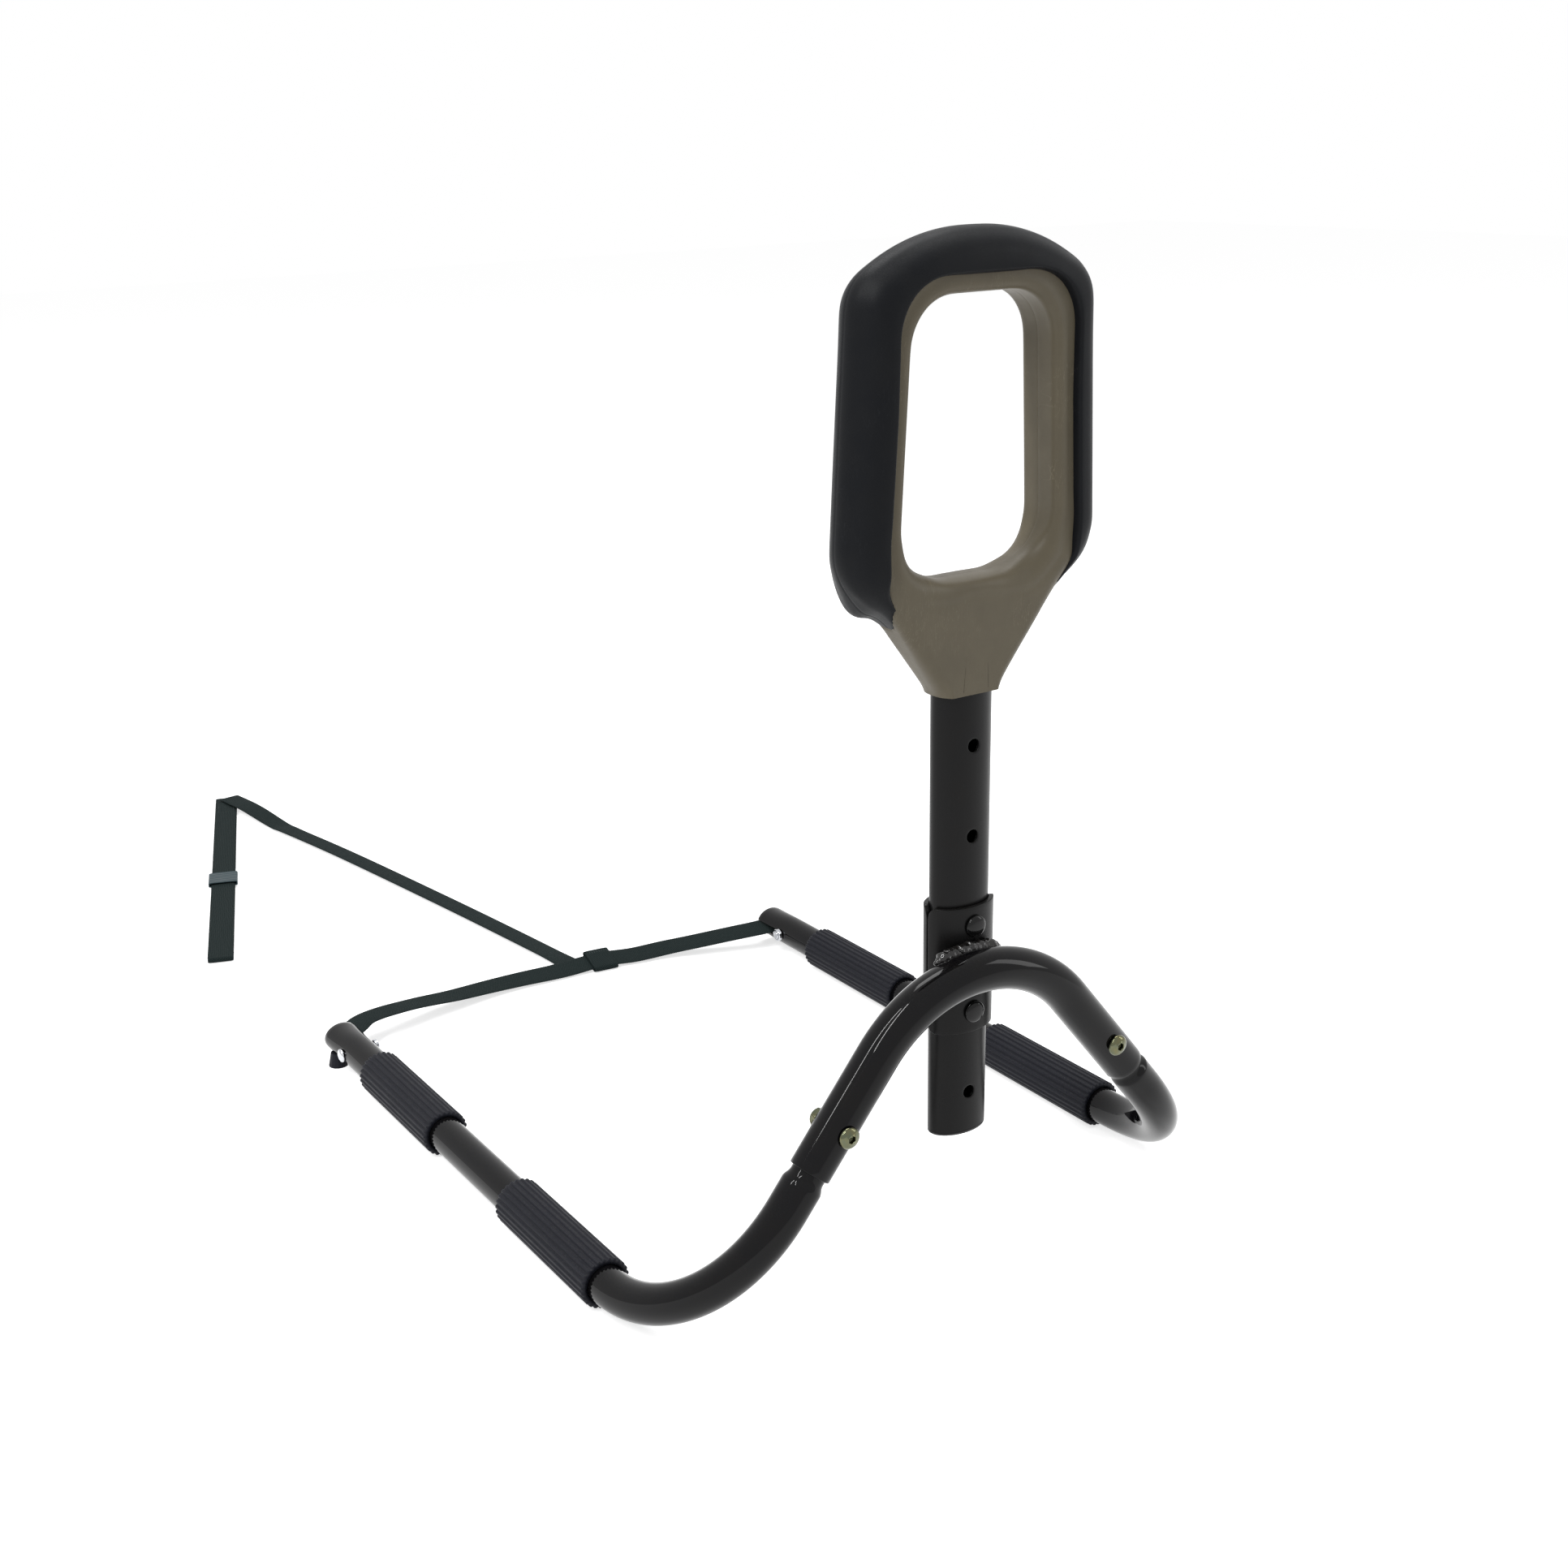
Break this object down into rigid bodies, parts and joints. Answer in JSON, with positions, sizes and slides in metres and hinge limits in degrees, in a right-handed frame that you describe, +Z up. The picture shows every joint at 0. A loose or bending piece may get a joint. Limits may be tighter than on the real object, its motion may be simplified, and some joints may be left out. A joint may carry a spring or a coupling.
{
  "type": "bed assist bar",
  "caption": "Grab handle on a height-adjustable post, held by a bent tube frame whose legs lie under a mattress and are tied to the bed by a strap.",
  "frame": {"origin": "on the surface that the legs lie on, in the middle of the frame without its straps", "axes": "+Z up along the post, +X along the side of the bed, +Y under the mattress, away from the person"},
  "size_m": [0.4133, 1.1199, 0.5778],
  "materials": {
    "paint": "gloss",
    "weld": "gloss",
    "grip_black": "matt, fine grain",
    "taupe": "satin",
    "rubber": "matt",
    "zinc": "yellow zinc plated",
    "black_steel": "gloss",
    "chrome": "bright",
    "webbing": "woven",
    "buckle": "matt",
    "cap": "matt"
  },
  "bodies": {
    "frame": {"arch_tube": "paint", "leg_left": "paint", "leg_right": "paint", "sleeve_front": "paint", "sleeve_back": "paint", "weld_bead": "weld", "leg_grip_left_near": "rubber", "leg_grip_left_far": "rubber", "leg_grip_right_near": "rubber", "leg_grip_right_far": "rubber", "foot_left": "rubber", "foot_right": "rubber", "joint_bolt_left": "zinc", "joint_bolt_right": "zinc", "joint_nut_left": "zinc", "joint_nut_right": "zinc", "height_bolt_lower": "black_steel", "height_bolt_upper": "black_steel", "height_nut_lower": "black_steel", "height_nut_upper": "black_steel", "strap_bolt_left": "chrome", "strap_bolt_right": "chrome", "strap_nut_left": "chrome", "strap_nut_right": "chrome", "cross_strap": "webbing", "strap_collar": "webbing", "tether_strap": "webbing", "strap_end_loop": "webbing"},
    "handle_post": {"post_tube": "paint", "post_plug": "cap", "handle_core_front": "taupe", "handle_core_back": "taupe", "handle_grip": "grip_black"},
    "buckle": {"slide_buckle": "buckle"}
  },
  "joints": [
    {"name": "post_height", "type": "slide", "parent": "frame", "child": "handle_post", "axis": [0, 0, 1], "range_m": [-0.0508, 0.0508]},
    {"name": "buckle_slide", "type": "slide", "parent": "frame", "child": "buckle", "axis": [-0.3337, -0.9427, 0], "range_m": [-0.14, 0.14]}
  ]
}
